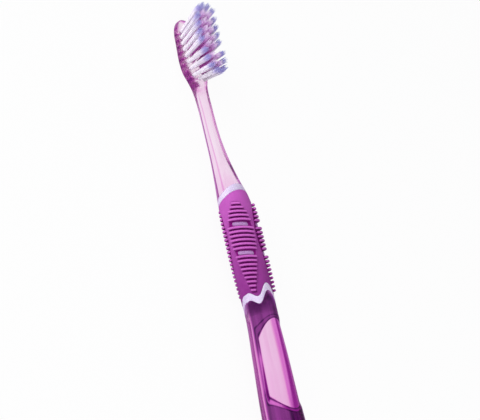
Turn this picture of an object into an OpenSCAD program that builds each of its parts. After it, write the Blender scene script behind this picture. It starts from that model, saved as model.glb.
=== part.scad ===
// Manual toothbrush: a clear moulded handle, a pearl sleeve, a ribbed rubber grip and anchored tufts.
// The brush lies on its back. X runs along it with the head at +X, Z points the way the bristles do.
// Stations are measured along the brush from the tip of the head. Azimuths are measured round it
// from the bristle side, and are positive towards +Y.

/* [Overall] */
// Length from the tip of the head to the butt
brush_len = 190; // [180:1:200]
// Length of the head with its shoulders
head_len = 31.5; // [28.5:0.5:34]
// Station where the grip's collar starts on the bristle side
collar_start = 74.5; // [70.5:0.5:77.5]
// Station where the rubber ends on the bristle side
band_start = 113.9; // [113:0.1:115.5]
// Station where the thumb recess starts
recess_start = 127; // [126:0.5:129]

/* [Head] */
// Width of the head
head_w = 11.5; // [11:0.1:13]
// Thickness of the head at its shoulders
head_t = 4.4; // [4:0.1:5.2]
// Thickness of the head at its tip
tip_t = 2.9; // [2.8:0.1:3.6]

/* [Neck] */
// Width of the neck at its thinnest
neck_w = 4.8; // [4:0.1:6]
// Thickness of the neck at its thinnest
neck_t = 5.4; // [4.5:0.1:6.5]

/* [Grip] */
// Width of the grip without its ribs
grip_w = 12.4; // [11.5:0.1:14]
// Thickness of the grip without its ribs
grip_t = 12.8; // [11.5:0.1:14]
// Thickness of the rubber
rubber_t = 0.9; // [0.7:0.05:1.1]
// Thickness of the pearl sleeve under the rubber
sleeve_t = 0.8; // [0.6:0.05:1]
// Width of the collar and of the wavy band
band_w = 2.8; // [2.2:0.1:3.2]

/* [Ribs] */
// Distance from one rib to the next
rib_pitch = 1.576; // [1.4:0.01:1.65]
// Width of a rib at its foot
rib_w = 0.95; // [0.7:0.05:1.1]
// Height of a rib on the front pads
rib_h = 1.05; // [0.6:0.05:1.3]
// Height of a rib on the back pads
back_rib_h = 0.65; // [0.3:0.05:0.75]
// Length of a window's bar across the pad
window_len = 6; // [4.5:0.1:6.5]
// Width of a window's bar along the brush
window_w = 1.7; // [1.2:0.1:1.9]

/* [Lower handle] */
// Width of the lower handle
butt_w = 13.8; // [12:0.1:15]
// Thickness of the lower handle
butt_t = 14.2; // [13:0.1:15]
// Width of the waist below the grip
waist_w = 11.2; // [10.5:0.1:12.4]
// Thickness of the waist below the grip
waist_t = 11.5; // [10.8:0.1:12.4]
// Length of the thumb recess
recess_len = 32; // [28:1:36]
// Depth of the thumb recess at its sides
recess_depth = 1; // [0.8:0.1:1.4]
// Width of the step round the thumb recess
recess_lip = 1.6; // [0.8:0.1:1.8]

/* [Bristles] */
// Free length of a tuft
tuft_len = 12.2; // [9:0.1:13]
// How much longer the first tufts are
tip_rise = 2.2; // [0:0.1:3]
// Diameter of a tuft's hole
hole_d = 1.7; // [1.5:0.05:1.9]
// Depth of a tuft's hole
hole_depth = 2.1; // [1.6:0.05:2.2]
// Distance between the holes of a column
tuft_pitch = 2.85; // [2.55:0.05:2.9]
// Distance between the two inner columns
inner_gap = 2.8; // [2.5:0.1:3]
// Distance between the two outer columns
outer_gap = 8.7; // [8:0.1:8.9]
// Width of a strand
strand_d = 0.36; // [0.25:0.01:0.4]
// Strands in a tuft
strands = 9; // [9:1:14]
// Lean of the first tufts towards the tip
front_lean = 20; // [10:1:22]
// How much less the last of the front tufts lean
front_fan = 7; // [0:1:9]
// Lean of the last tufts towards the neck
rear_lean = 6; // [0:1:12]

/* [Hidden] */
sides = 36;
azimuths = [for (j = [0 : sides - 1]) 360 * j / sides];
front_holes = 5;
column_holes = 8;
first_outer = 6.3;
first_inner = first_outer - tuft_pitch / 2;
tip_reach = max((tuft_len + tip_rise) * sin(front_lean) + hole_d * 0.36 - first_inner, 0);
middle = (brush_len - tip_reach) / 2;
hole_gap = 0.03;
plug_sink = 0.25;
strand_root = 0.3;
anchor_t = 0.3;
anchor_h = 1.1;
anchor_gap = 0.05;
over = 0.5;
rib_root = 0.4;
groove_rise = 0.15;
window_rows = [5, 12];
pad_start = mix(collar_start, band_start, 0.218);
pad_margin = 2;
front_pad = 44;
pad_spread = 10;
back_pad = 136;
pad_span = 40;
back_pad_span = 33;
rib_slant = 0.9;
channel_depth = 0.4;
channel_margin = 1.6;
window_gap = 0.1;
bar_sink = 0.3;

// Sizes of the outer form along the brush
// Each row is a station, half the width, the back's height, the front's height and the squareness
tip_len = head_len * 0.3;
tip_round = tip_t * 0.9;
tip_power = 2.3;
butt_len = butt_w * 0.55;
flat_cut = 0.25;
tip_lift = 0.4;
neck_lift = 0.3;
grip_lift = 0.9;
waist_lift = 2.1;
neck_at = head_len * 1.27;
waist_at = band_start + band_w * 3.4;
form = [
    [0, head_w / 2, tip_lift - flat_cut, tip_lift + tip_t, 4],
    [tip_len, head_w / 2, -flat_cut, tip_t * 1.09, 4],
    [head_len * 0.76, head_w / 2, -flat_cut, head_t, 4],
    [head_len * 0.87, head_w * 0.37, -flat_cut, head_t * 1.07, 3.4],
    [head_len, neck_w * 0.6, -flat_cut / 2, neck_t * 0.95, 2.8],
    [neck_at, neck_w / 2, neck_lift, neck_lift + neck_t, 2.5],
    [mix(neck_at, collar_start, 0.35), neck_w * 0.51, neck_lift * 2, neck_t * 1.19, 2.4],
    [mix(neck_at, collar_start, 0.65), neck_w * 0.62, grip_lift * 0.9, neck_t * 1.5, 2.3],
    [mix(neck_at, collar_start, 0.915), grip_w * 0.335, grip_lift, grip_lift + grip_t * 0.73, 2.25],
    [mix(collar_start, band_start, 0.127), grip_w * 0.445, grip_lift, grip_lift + grip_t * 0.91, 2.2],
    [mix(collar_start, band_start, 0.355), grip_w * 0.497, grip_lift, grip_lift + grip_t * 0.99, 2.2],
    [mix(collar_start, band_start, 0.6), grip_w / 2, grip_lift, grip_lift + grip_t, 2.2],
    [mix(collar_start, band_start, 0.9), grip_w * 0.49, mix(grip_lift, waist_lift, 0.3),
        grip_lift + grip_t, 2.2],
    [waist_at, waist_w / 2, waist_lift, waist_lift + waist_t, 2.2],
    [mix(waist_at, brush_len, 0.25), mix(waist_w, butt_w, 0.42) / 2, waist_lift * 0.5,
        waist_lift * 0.5 + mix(waist_t, butt_t, 0.55), 2.2],
    [mix(waist_at, brush_len, 0.5), mix(waist_w, butt_w, 0.8) / 2, 0, butt_t * 0.985, 2.3],
    [mix(waist_at, brush_len, 0.75), butt_w / 2, -flat_cut, butt_t, 2.4],
    [brush_len, butt_w * 0.46, flat_cut, butt_t * 0.9, 2.4]
];

// Small functions
function mix(a, b, t) = a + (b - a) * t;
function signed_power(v, p) = sign(v) * pow(abs(v), p);
function row_of(t, s, i = 0) = i >= len(t) - 2 || s < t[i + 1][0] ? i : row_of(t, s, i + 1);
function secant(t, i, c) = (t[i + 1][c] - t[i][c]) / (t[i + 1][0] - t[i][0]);
function tangent(t, i, c) =
    i == 0 ? secant(t, 0, c)
    : i == len(t) - 1 ? secant(t, i - 1, c)
    : (secant(t, i - 1, c) + secant(t, i, c)) / 2;
function smooth_column(t, s, c) =
    let (i = row_of(t, s), h = t[i + 1][0] - t[i][0], u = (s - t[i][0]) / h)
    t[i][c] * (2 * pow(u, 3) - 3 * pow(u, 2) + 1)
    + tangent(t, i, c) * h * (pow(u, 3) - 2 * pow(u, 2) + u)
    + t[i + 1][c] * (3 * pow(u, 2) - 2 * pow(u, 3))
    + tangent(t, i + 1, c) * h * (pow(u, 3) - pow(u, 2));
function round_off(u, p) = u >= 1 ? 1 : pow(1 - pow(1 - max(u, 0), p), 1 / p);

// The outer form at a station: half width, middle height, half thickness and squareness
function section(s) =
    let (
        lo = smooth_column(form, s, 2),
        hi = smooth_column(form, s, 3),
        left = (brush_len - s) / butt_len,
        plan = round_off(0.02 + s / tip_len, tip_power) * round_off(0.06 + left, tip_power),
        side = round_off(0.25 + s / tip_round, 2) * round_off(0.12 + left, tip_power)
    )
    [smooth_column(form, s, 1) * plan, (lo + hi) / 2, (hi - lo) / 2 * side, smooth_column(form, s, 4)];

// A point of the outer form, drawn in by an inset, on a back that is cut flat where the brush rests
function skin_point(s, az, inset = 0) =
    let (f = section(s), p = 2 / f[3])
    [
        middle - s,
        (f[0] - inset) * signed_power(sin(az), p),
        max(f[1] + (f[2] - inset) * signed_power(cos(az), p), 0)
    ];

// Stations that go round the brush as curves
function collar_edge(az) = collar_start + band_w * 0.95 * (1 - cos(az));
function rubber_top(az) = collar_start + band_w * (1 + 0.85 * (1 - cos(az)));
function rubber_end(az) =
    band_start + band_w * (0.84 + 0.43 * (1 - cos(az)) - (0.22 + 0.62 * abs(cos(az))) * cos(4 * az));
function band_edge(az) = rubber_end(az) + band_w;
function ring(inset, curve) = [for (az = azimuths) skin_point(curve(az), az, inset)];
function between(a, b, t) = function (az) mix(a(az), b(az), t);
function backwards(list) = [for (i = [len(list) - 1 : -1 : 0]) list[i]];

// A skin through rings of points, closed by end caps or, for a tube wall, into a loop
module loft(rings, looped = false) {
    n = len(rings[0]);
    m = len(rings);
    last = looped ? m - 1 : m - 2;
    skin = [
        for (i = [0 : last], j = [0 : n - 1])
            let (
                up = (i + 1) % m,
                next = (j + 1) % n,
                a = i * n + j,
                b = i * n + next,
                c = up * n + j,
                d = up * n + next
            )
            each [[a, c, b], [b, c, d]]
    ];
    caps = looped ? [] : [[for (j = [0 : n - 1]) j], [for (j = [n - 1 : -1 : 0]) (m - 1) * n + j]];
    polyhedron([for (r = rings) each r], concat(skin, caps), convexity = 10);
}

// Handle
head_shares = [0, 0.006, 0.03, 0.09, 0.18, 0.3, 0.76, 0.82, 0.88, 0.94, 1];
neck_shares = [0.12, 0.26, 0.42, 0.58, 0.74, 0.9];
butt_shares = [0.06, 0.2, 0.36, 0.52, 0.7, 0.82, 0.89, 0.935, 0.965, 0.985, 1];
core_inset = rubber_t + sleeve_t;
sleeve_steps = [0, 0.35, 0.65, 1];
floor_shares = [0, 0.17, 0.34, 0.5, 0.66, 0.83, 1];
arch_shares = [0, 0.015, 0.06, 0.14, 0.26, 0.42, 0.65, 1];
arch_share = 0.57;
arch_power = 2.3;
dip_shares = [[0, 0.12], [20, 0.36], [45, 0.36], [80, 1], [180, 1]];
skin_steps = [0, 0.22, 0.5, 0.75, 1];

module handle_form() {
    top = function (az) collar_edge(az);
    edge = function (az) band_edge(az);
    loft(concat(
        [for (u = head_shares) ring(0, function (az) head_len * u)],
        [for (u = neck_shares) ring(0, function (az) mix(head_len, collar_start, u))],
        [ring(0, top)],
        [for (u = sleeve_steps) ring(core_inset, between(top, edge, u))],
        [ring(0, edge)],
        [for (u = butt_shares) ring(0, function (az) mix(band_edge(180), brush_len, u))]
    ));
}

// Outline of the thumb recess seen from the bristle side, an arch that ends in half an ellipse
module recess_outline(grow) {
    foot_w = butt_w * 0.48;
    foot_len = foot_w * 1.28;
    foot_at = recess_start + recess_len - foot_len;
    arch = [
        for (u = arch_shares)
            [
                middle - mix(recess_start - grow, foot_at, u * arch_share),
                (mix(waist_w * 0.56, foot_w, u) + grow) * round_off(u, arch_power)
            ]
    ];
    foot = [
        for (a = [90 : -15 : 0])
            [middle - foot_at - (foot_len + grow) * cos(a), (foot_w + grow) * sin(a)]
    ];
    half = concat(arch, foot);
    polygon(concat(half, [for (i = [len(half) - 2 : -1 : 1]) [half[i][0], -half[i][1]]]));
}

// What stays below a level of the thumb recess: the handle's form drawn in, least along its middle
module recess_floor(depth) {
    reach = [recess_start - 2 * recess_lip - over, recess_start + recess_len + 2 * recess_lip + over];
    loft([
        for (u = floor_shares)
            [
                for (az = azimuths)
                    let (dip = depth * lookup(min(az, 360 - az), dip_shares))
                    skin_point(mix(reach[0], reach[1], u), az, dip)
            ]
    ]);
}

module recess_cut(grow, depth) {
    base = section(recess_start + recess_len / 2)[1];
    difference() {
        translate([0, 0, base])
            linear_extrude(butt_t) recess_outline(grow);
        recess_floor(depth);
    }
}

module handle_core() {
    color("orchid", 0.75)
        difference() {
            handle_form();
            recess_cut(recess_lip, recess_depth * 0.45);
            recess_cut(0, recess_depth);
            for (t = tufts)
                at_tuft(t)
                    translate([0, 0, -hole_depth])
                        cylinder(h = hole_depth + over, d = hole_d, $fn = 8);
        }
}

// Tufts
// Each tuft is a name, a station, a distance from the middle, a lean towards the tip, a length and a colour
inner_shares = [0.93, 1, 1, 1, 1, 1, 1, 1, 0.86];
outer_shares = [0.8, 0.95, 1, 1, 1, 1, 0.93, 0.74];
rear_holes = column_holes - front_holes;
function hole_lean(h) =
    h < front_holes - 0.25
        ? front_lean - front_fan * max(h, 0) / (front_holes - 1)
        : -rear_lean * (h - front_holes) / (rear_holes - 1);
function hole_len(h) = tuft_len + tip_rise * max(1 - max(h, 0) / (front_holes - 1), 0);
function side_name(side) = side > 0 ? "left" : "right";
tufts = [
    for (side = [1, -1]) each [
        for (k = [0 : column_holes - 1])
            [str("tuft_outer_", side_name(side), "_", k + 1), first_outer + k * tuft_pitch,
                side * outer_gap / 2 * outer_shares[k], hole_lean(k), hole_len(k), "ghostwhite"],
        for (k = [0 : column_holes])
            [str("tuft_inner_", side_name(side), "_", k + 1), first_inner + k * tuft_pitch,
                side * inner_gap / 2 * inner_shares[k], hole_lean(k - 0.5), hole_len(k - 0.5),
                k == 0 || k == column_holes ? "ghostwhite" : "mediumorchid"]
    ]
];
main_pieces = ["handle_core", "inner_sleeve", "grip_overmould", "tuft_anchors"];

// Height of the head's front face over a place
function face_height(s, y) =
    let (f = section(s))
    f[1] + f[2] * pow(1 - pow(min(abs(y) / f[0], 1), f[3]), 1 / f[3]);

module at_tuft(t) {
    mirror([0, t[2] < 0 ? 1 : 0, 0])
        translate([middle - t[1], abs(t[2]), face_height(t[1], t[2])])
            rotate([0, t[3], 0]) children();
}

module anchor(grow = 0) {
    long = hole_d - 2 * (hole_gap + anchor_gap);
    translate([-anchor_t / 2 - grow, -long / 2 - 4 * grow, -hole_depth + hole_gap])
        cube([anchor_t + 2 * grow, long + 8 * grow, anchor_h + grow]);
}

// Strands stand on a sunflower spiral and spread a little, so none crosses another
module tuft(t) {
    plug_r = hole_d / 2 - hole_gap;
    spread = 1.35;
    color(t[5])
        at_tuft(t) {
            difference() {
                translate([0, 0, -hole_depth + hole_gap])
                    cylinder(h = hole_depth - hole_gap - plug_sink, r = plug_r, $fn = 8);
                translate([0, 0, -over]) anchor_slot();
            }
            for (i = [0 : strands - 1])
                let (
                    r = (plug_r - strand_d * 0.62) * sqrt((i + 0.5) / strands),
                    turn = 137.5 * i,
                    dome = 0.05 * pow(r / plug_r, 2),
                    uneven = 0.035 * (1 + sin(211 * i + 90 * t[1])),
                    tall = t[4] * (1 - dome - uneven),
                    out = atan(r * (spread - 1) / t[4])
                )
                rotate([0, 0, turn])
                    translate([r, 0, 0]) rotate([0, out, 0])
                        translate([0, 0, -plug_sink - strand_root])
                            cylinder(h = tall + plug_sink + strand_root, d = strand_d, $fn = 3);
        }
}

module anchor_slot() {
    translate([0, 0, over - anchor_gap]) anchor(anchor_gap);
}

module tuft_anchors() {
    color("silver")
        for (t = tufts) at_tuft(t) anchor();
}

// Sleeve
module inner_sleeve() {
    top = function (az) collar_edge(az);
    low = function (az) rubber_top(az);
    end = function (az) rubber_end(az);
    edge = function (az) band_edge(az);
    color("lavender")
        union() {
            loft(concat(
                [ring(0, top), ring(0, low)],
                [for (u = skin_steps) ring(rubber_t, between(low, end, u))],
                [ring(0, end), ring(0, edge)],
                [for (u = backwards(sleeve_steps)) ring(core_inset, between(top, edge, u))]
            ), looped = true);
            for (side = [-1, 1], k = window_rows)
                pad_chain(side, k, window_len - window_w, 2, window_w, -rubber_t - sleeve_t / 2, -bar_sink);
        }
}

// Grip
pad_shares = [[0, 0.36], [0.1, 0.74], [0.27, 1], [0.45, 0.96], [0.62, 0.79], [0.8, 0.56], [1, 0.22]];
rib_shares = [[-0.5, 0], [-0.27, 1], [0.27, 1], [0.5, 0]];
front_columns = [[-1, -1], [-0.9, 0.72], [-0.6, 1], [0, 1], [0.6, 1], [0.9, 0.72], [1, -1]];
back_columns = [[-1, -1], [-0.84, 0.8], [0, 1], [0.84, 0.8], [1, -1]];
root_shares = [1, 0, -1];

rib_rows = floor((rubber_end(front_pad + pad_spread) - pad_margin - pad_start) / rib_pitch) + 1;

function pad_centre(k, front) = front ? front_pad + pad_spread * k / (rib_rows - 1) : back_pad;
function pad_half(k, front) = (front ? pad_span : back_pad_span) * lookup(k / (rib_rows - 1), pad_shares);
function pad_station(k, off) = pad_start + k * rib_pitch - rib_slant * off / pad_span;

// A point over a pad: off degrees from its middle, along the brush by run and above the rubber by rise
function pad_point(side, k, front, off, run, rise) =
    skin_point(pad_station(k, off) + run, side * (pad_centre(k, front) + off), -rise);

// A pad is a skin over its ribs and grooves, narrow at both ends, whose rim dips into the rubber
module pad(side, front) {
    tall = front ? rib_h : back_rib_h;
    columns = front ? front_columns : back_columns;
    rings = [
        for (k = [0 : rib_rows - 1], q = rib_shares)
            if (!front || len(search(k, window_rows)) == 0)
                let (half = pad_half(k, front))
                concat(
                    [
                        for (c = columns)
                            let (rise = c[1] < 0 ? -groove_rise : mix(groove_rise, tall * c[1], q[1]))
                            pad_point(side, k, front, c[0] * half, q[0] * rib_w, rise)
                    ],
                    [for (u = root_shares) pad_point(side, k, front, u * half, q[0] * rib_w, -rib_root)]
                )
    ];
    loft(side > 0 ? rings : [for (r = rings) backwards(r)]);
}

// Hulls in a row that follow the grip round, between two heights over the rubber
module pad_chain(side, k, length, steps, width, low, high) {
    half = length / 2 / (grip_w / 2) * 180 / PI;
    for (i = [0 : steps - 1])
        hull()
            for (e = [i, i + 1])
                let (
                    off = mix(-half, half, e / steps),
                    foot = pad_point(side, k, true, off, 0, low),
                    head = pad_point(side, k, true, off, 0, high),
                    way = head - foot
                )
                translate(foot)
                    rotate([0, acos(way[2] / norm(way)), atan2(way[1], way[0])])
                        cylinder(h = norm(way), d = width, $fn = 16);
}

module grip_overmould() {
    low = function (az) rubber_top(az);
    end = function (az) rubber_end(az);
    channel_w = 2 * rib_pitch - rib_w;
    channel_len = window_len + 2 * channel_margin - channel_w;
    hole_w = window_w + 2 * window_gap;
    color("mediumvioletred")
        difference() {
            union() {
                loft(concat(
                    [for (u = skin_steps) ring(0, between(low, end, u))],
                    [for (u = backwards(skin_steps)) ring(rubber_t, between(low, end, u))]
                ), looped = true);
                for (side = [-1, 1], front = [true, false]) pad(side, front);
            }
            for (side = [-1, 1], k = window_rows) {
                pad_chain(side, k, channel_len, 4, channel_w, -channel_depth, rib_h + over);
                pad_chain(side, k, window_len - window_w, 2, hole_w, -rubber_t - over, rib_h);
            }
        }
}

handle_core();
inner_sleeve();
grip_overmould();
tuft_anchors();
for (t = tufts) tuft(t);
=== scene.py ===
"""A manual toothbrush, dressed for a white studio.

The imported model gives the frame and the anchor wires. Every other piece is modelled again at a finer
grain and stands for its node: the clear handle with its drilled head, the pearl sleeve, the ribbed
rubber grip, and the tufts filament by filament. Lengths in the classes are in millimetres. A station is
a distance from the tip of the head, and an azimuth is measured round the brush from the bristle side.
"""

import logging
import math
import random
from collections.abc import Callable, Iterable, Sequence
from dataclasses import dataclass, field
from enum import Enum
from functools import lru_cache

import bmesh
import bpy
from mathutils import Matrix, Vector


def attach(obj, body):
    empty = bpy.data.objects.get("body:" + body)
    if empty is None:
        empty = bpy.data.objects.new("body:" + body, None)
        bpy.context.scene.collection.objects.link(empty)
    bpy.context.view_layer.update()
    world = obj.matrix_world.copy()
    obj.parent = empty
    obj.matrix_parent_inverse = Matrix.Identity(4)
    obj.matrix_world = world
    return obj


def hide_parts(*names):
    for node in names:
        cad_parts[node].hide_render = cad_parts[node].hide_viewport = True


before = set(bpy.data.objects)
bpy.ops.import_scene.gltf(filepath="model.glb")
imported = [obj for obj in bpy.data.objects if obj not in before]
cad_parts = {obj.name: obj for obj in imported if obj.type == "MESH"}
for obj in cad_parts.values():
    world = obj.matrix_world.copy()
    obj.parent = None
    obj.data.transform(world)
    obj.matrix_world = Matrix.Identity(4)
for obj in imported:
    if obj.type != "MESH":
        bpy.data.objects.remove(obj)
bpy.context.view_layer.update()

LOG = logging.getLogger("toothbrush")
MM = 0.001
FULL_TURN = 360.0
GOLDEN_TURN = 137.508
WELD = 2e-7
BMesh = bmesh.types.BMesh
BMVert = bmesh.types.BMVert
Socket = bpy.types.NodeSocket
Colour = tuple[float, float, float, float]
Curve = Callable[[float], float]
Place = Callable[[float], Vector]
Write = Callable[[BMVert, int, float], None]
Triple = tuple[float, float, float]
WHITE: Colour = (1.0, 1.0, 1.0, 1.0)


def mix(a: float, b: float, t: float) -> float:
    """Gives the value at share t of the way from a to b."""
    return a + (b - a) * t


def clamp(v: float, low: float = 0.0, high: float = 1.0) -> float:
    """Keeps v between low and high."""
    return min(max(v, low), high)


def ease(t: float) -> float:
    """Gives a share that starts and ends gently."""
    t = clamp(t)
    return t * t * (3 - 2 * t)


def rise(v: float, start: float, end: float) -> float:
    """Gives a share that goes gently from 0 at start to 1 at end."""
    return ease((v - start) / (end - start))


def signed_power(v: float, p: float) -> float:
    """Raises the size of v to a power and keeps its sign."""
    return math.copysign(abs(v) ** p, v)


def round_off(u: float, p: float) -> float:
    """Gives a superellipse's height at share u of its end."""
    return (1 - (1 - clamp(u)) ** p) ** (1 / p)


def look_up(t: float, table: Sequence[tuple[float, float]]) -> float:
    """Reads a table of steps by straight lines between its rows.

    Args:
        t: The value to look up.
        table: Pairs of such a value and what it gives, in rising order.

    Returns:
        What the table gives there.
    """
    for (t0, v0), (t1, v1) in zip(table, table[1:]):
        if t <= t1:
            return mix(v0, v1, clamp((t - t0) / (t1 - t0)))
    return table[-1][1]


@dataclass(frozen=True)
class Form:
    """The outer form that all the pieces share."""

    brush_len: float = 190.0
    head_len: float = 31.5
    collar_start: float = 74.5
    band_start: float = 113.9
    middle: float = 94.669
    head_w: float = 11.5
    head_t: float = 4.4
    tip_t: float = 2.9
    neck_w: float = 4.8
    neck_t: float = 5.4
    grip_w: float = 12.4
    grip_t: float = 12.8
    butt_w: float = 13.8
    butt_t: float = 14.2
    waist_w: float = 11.2
    waist_t: float = 11.5
    band_w: float = 2.8
    rubber_t: float = 0.9
    sleeve_t: float = 0.8
    end_power: float = 2.3
    waves: int = 4

    @lru_cache(maxsize=None)
    def rows(self) -> list[tuple[float, ...]]:
        """Lists the form's sizes along the brush.

        Returns:
            Rows of station, half width, height of the back, height of the front and squareness.
        """
        neck_at = self.head_len * 1.27
        waist_at = self.band_start + self.band_w * 3.4

        def neck(t: float) -> float:
            """Gives a station between the neck and the collar."""
            return mix(neck_at, self.collar_start, t)

        def grip(t: float) -> float:
            """Gives a station along the grip."""
            return mix(self.collar_start, self.band_start, t)

        def butt(t: float) -> float:
            """Gives a station between the waist and the butt."""
            return mix(waist_at, self.brush_len, t)

        return [
            (0.0, self.head_w / 2, 0.15, 0.4 + self.tip_t, 4.0),
            (self.head_len * 0.3, self.head_w / 2, -0.25, self.tip_t * 1.09, 4.0),
            (self.head_len * 0.76, self.head_w / 2, -0.25, self.head_t, 4.0),
            (self.head_len * 0.87, self.head_w * 0.37, -0.25, self.head_t * 1.07, 3.4),
            (self.head_len, self.neck_w * 0.6, -0.125, self.neck_t * 0.95, 2.8),
            (neck_at, self.neck_w / 2, 0.3, 0.3 + self.neck_t, 2.5),
            (neck(0.35), self.neck_w * 0.51, 0.6, self.neck_t * 1.19, 2.4),
            (neck(0.65), self.neck_w * 0.62, 0.81, self.neck_t * 1.5, 2.3),
            (neck(0.915), self.grip_w * 0.335, 0.9, 0.9 + self.grip_t * 0.73, 2.25),
            (grip(0.127), self.grip_w * 0.445, 0.9, 0.9 + self.grip_t * 0.91, 2.2),
            (grip(0.355), self.grip_w * 0.497, 0.9, 0.9 + self.grip_t * 0.99, 2.2),
            (grip(0.6), self.grip_w / 2, 0.9, 0.9 + self.grip_t, 2.2),
            (grip(0.9), self.grip_w * 0.49, 1.26, 0.9 + self.grip_t, 2.2),
            (waist_at, self.waist_w / 2, 2.1, 2.1 + self.waist_t, 2.2),
            (butt(0.25), mix(self.waist_w, self.butt_w, 0.42) / 2, 1.05,
             1.05 + mix(self.waist_t, self.butt_t, 0.55), 2.2),
            (butt(0.5), mix(self.waist_w, self.butt_w, 0.8) / 2, 0.0, self.butt_t * 0.985, 2.3),
            (butt(0.75), self.butt_w / 2, -0.25, self.butt_t, 2.4),
            (self.brush_len, self.butt_w * 0.46, 0.25, self.butt_t * 0.9, 2.4),
        ]

    def smooth(self, s: float, column: int) -> float:
        """Reads one column of the form as a smooth curve through its rows.

        Args:
            s: The station.
            column: The column to read.

        Returns:
            The size there.
        """
        t = self.rows()
        i = next((k for k in range(len(t) - 2) if s < t[k + 1][0]), len(t) - 2)

        def slope(k: int) -> float:
            """Gives the slope from row k to the next."""
            return (t[k + 1][column] - t[k][column]) / (t[k + 1][0] - t[k][0])

        def tangent(k: int) -> float:
            """Gives the curve's slope at row k.

            Args:
                k: The row.

            Returns:
                The slope.
            """
            if k == 0:
                return slope(0)
            return slope(k - 1) if k == len(t) - 1 else (slope(k - 1) + slope(k)) / 2

        h = t[i + 1][0] - t[i][0]
        u = (s - t[i][0]) / h
        return (t[i][column] * (2 * u ** 3 - 3 * u ** 2 + 1)
                + tangent(i) * h * (u ** 3 - 2 * u ** 2 + u)
                + t[i + 1][column] * (3 * u ** 2 - 2 * u ** 3)
                + tangent(i + 1) * h * (u ** 3 - u ** 2))

    @lru_cache(maxsize=None)
    def section(self, s: float) -> tuple[float, float, float, float]:
        """Gives the half width, middle height, half thickness and squareness at a station.

        Args:
            s: The station.

        Returns:
            The four values.
        """
        low, high = self.smooth(s, 2), self.smooth(s, 3)
        left = self.brush_len - s
        tip_len, tip_round, butt_len = self.head_len * 0.294, self.tip_t * 0.675, self.butt_w * 0.517
        plan = round_off(s / tip_len, self.end_power) * round_off(left / butt_len, self.end_power)
        side = round_off(s / tip_round, 2.0) * round_off(left / (butt_len * 0.94), self.end_power)
        return self.smooth(s, 1) * plan, (low + high) / 2, (high - low) / 2 * side, self.smooth(s, 4)

    def skin(self, s: float, az: float, inset: float = 0.0) -> Vector:
        """Gives a point of the outer form, whose back is cut flat where the brush rests.

        Args:
            s: The station.
            az: The azimuth in degrees.
            inset: How far the point is drawn in.

        Returns:
            The point, in millimetres.
        """
        half, middle, thick, square = self.section(s)
        a, p = math.radians(az), 2 / square
        return Vector((
            self.middle - s,
            (half - inset) * signed_power(math.sin(a), p),
            max(middle + (thick - inset) * signed_power(math.cos(a), p), 0.0),
        ))

    def collar_edge(self, az: float) -> float:
        """Gives the station where the collar starts."""
        return self.collar_start + self.band_w * 0.95 * (1 - math.cos(math.radians(az)))

    def rubber_top(self, az: float) -> float:
        """Gives the station where the rubber starts."""
        return self.collar_start + self.band_w * (1 + 0.85 * (1 - math.cos(math.radians(az))))

    def rubber_end(self, az: float) -> float:
        """Gives the station of the wave in which the rubber ends.

        Args:
            az: The azimuth.

        Returns:
            The station.
        """
        c = math.cos(math.radians(az))
        wave = (0.22 + 0.62 * abs(c)) * math.cos(math.radians(self.waves * az))
        return self.band_start + self.band_w * (0.84 + 0.43 * (1 - c) - wave)

    def band_edge(self, az: float) -> float:
        """Gives the station where the band under the wave ends."""
        return self.rubber_end(az) + self.band_w

    @property
    def core_inset(self) -> float:
        """How far the handle is drawn in under the sleeve."""
        return self.rubber_t + self.sleeve_t


FORM = Form()


def rolled_skin(bm: BMesh, rings: Sequence[Place], sides: int, write: Write | None = None) -> None:
    """Rolls a grid into a skin through rings of points and welds its seam.

    Args:
        bm: The mesh that takes the skin.
        rings: For each ring, what places a point at an azimuth, in millimetres.
        sides: The number of points in a ring.
        write: Called with each point, its ring and its azimuth, to write attributes.
    """
    last = len(rings) - 1
    made = bmesh.ops.create_grid(bm, x_segments=last, y_segments=sides, size=1.0)["verts"]
    for v in made:
        ring = round((v.co.x + 1) / 2 * last)
        az = FULL_TURN * (round((v.co.y + 1) / 2 * sides) % sides) / sides
        v.co = rings[ring](az) * MM
        if write:
            write(v, ring, az)
    bmesh.ops.remove_doubles(bm, verts=made, dist=WELD)


def capped(bm: BMesh) -> None:
    """Closes every open rim with a face.

    Args:
        bm: The mesh.
    """
    rims = [e for e in bm.edges if e.is_boundary]
    if rims:
        bmesh.ops.holes_fill(bm, edges=rims, sides=0)


def mesh_of(name: str, bm: BMesh) -> bpy.types.Mesh:
    """Gives a mesh with what the bmesh holds, and frees the bmesh.

    Args:
        name: The mesh's name.
        bm: The bmesh.

    Returns:
        The mesh.
    """
    mesh = bpy.data.meshes.new(name)
    bm.to_mesh(mesh)
    bm.free()
    return mesh


def put_in_scene(name: str, data: bpy.types.ID) -> bpy.types.Object:
    """Puts a mesh, a lens or a lamp in the scene as an object.

    Args:
        name: The object's name.
        data: The mesh, lens or lamp.

    Returns:
        The object.
    """
    made = bpy.data.objects.new(name, data)
    bpy.context.scene.collection.objects.link(made)
    return made


class Body(Enum):
    """The CAD bodies that pieces ride on."""

    BRUSH = "root"


class Slot(Enum):
    """The record's material slots."""

    CLEAR = "clear_violet"
    PEARL = "pearl"
    RUBBER = "rubber"
    WIRE = "anchor_wire"
    WHITE = "white_filament"
    PURPLE = "purple_filament"


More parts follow.
